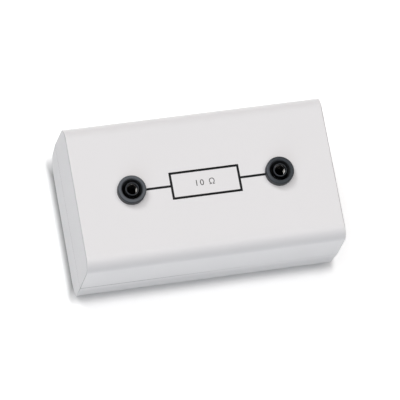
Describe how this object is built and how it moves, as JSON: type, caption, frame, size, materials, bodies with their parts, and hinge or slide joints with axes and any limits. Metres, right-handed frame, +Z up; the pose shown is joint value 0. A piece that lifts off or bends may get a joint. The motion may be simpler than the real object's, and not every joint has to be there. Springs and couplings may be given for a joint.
{
  "type": "precision resistor",
  "caption": "White moulded plastic box with rounded long edges and black shrouded sockets in its top, joined inside to a wound precision resistor.",
  "frame": {"origin": "centre of the underside of the case", "axes": "+X along the case, towards the right-hand socket; +Y towards the back long wall; +Z up, out of the sockets"},
  "size_m": [0.105, 0.0602, 0.047],
  "materials": {
    "white_plastic": "fine satin moulding",
    "black_plastic": "satin",
    "tip_plastic": "satin",
    "plated_brass": "plated, turned",
    "tinned_brass": "tinned",
    "spring_steel": "plated spring steel",
    "screw_steel": "zinc plated",
    "ceramic": "unglazed",
    "resistance_wire": "drawn",
    "coating": "matt cement",
    "solder": "bright solder"
  },
  "bodies": {
    "root": {"lid": "white_plastic", "base": "white_plastic", "case_screws": "screw_steel", "socket_body_left": "black_plastic", "socket_body_right": "black_plastic", "contact_tip_left": "tip_plastic", "contact_tip_right": "tip_plastic", "contact_sleeve_left": "plated_brass", "contact_sleeve_right": "plated_brass", "retaining_clip_left": "spring_steel", "retaining_clip_right": "spring_steel", "solder_tag_left": "tinned_brass", "solder_tag_right": "tinned_brass", "lock_washer_left": "spring_steel", "lock_washer_right": "spring_steel", "tag_nut_left": "plated_brass", "tag_nut_right": "plated_brass", "resistor_core": "ceramic", "resistor_winding": "resistance_wire", "resistor_coating": "coating", "end_cap_left": "tinned_brass", "end_cap_right": "tinned_brass", "lead_left": "tinned_brass", "lead_right": "tinned_brass", "solder_joints": "solder"}
  },
  "joints": []
}
